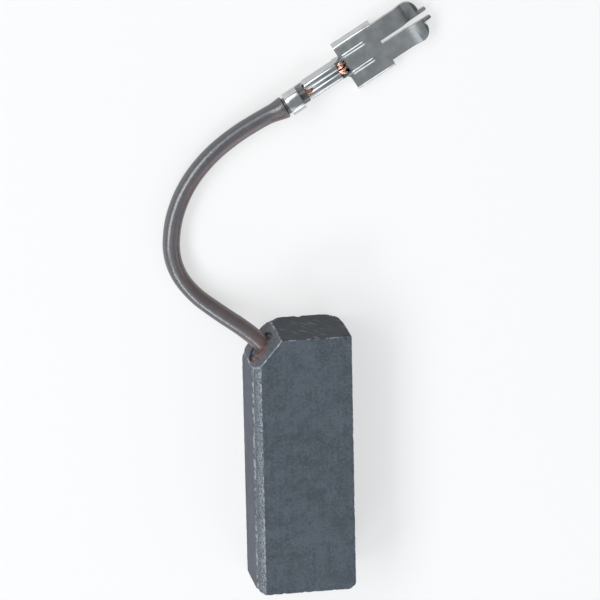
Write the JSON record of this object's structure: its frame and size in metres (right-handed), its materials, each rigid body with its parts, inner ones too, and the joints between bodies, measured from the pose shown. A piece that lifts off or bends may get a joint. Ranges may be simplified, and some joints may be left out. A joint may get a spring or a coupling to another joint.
{
  "type": "carbon brush",
  "caption": "Rectangular carbon brush block with a sleeved copper lead from its cut corner to a crimped flat contact with slit prongs.",
  "frame": {"origin": "middle of the block's back face, which lies on the surface", "axes": "+Y along the block from its wearing end to its lead end, +X across the broad face towards the side without the cut corner, +Z out of the broad front face"},
  "size_m": [0.0346, 0.0758, 0.008],
  "materials": {
    "carbon": "pressed and cut carbon graphite, satin, with fine grain",
    "tamped_copper": "dull tamped copper powder",
    "copper_strand": "bright fine copper strands",
    "sleeve": "smooth brown-grey flexible tube with a soft sheen",
    "tinned_sheet": "bright tin plate on folded sheet"
  },
  "bodies": {
    "root": {"carbon_block": "carbon", "copper_tamping": "tamped_copper", "stranded_wire": "copper_strand", "insulating_sleeve": "sleeve", "terminal": "tinned_sheet"}
  },
  "joints": []
}
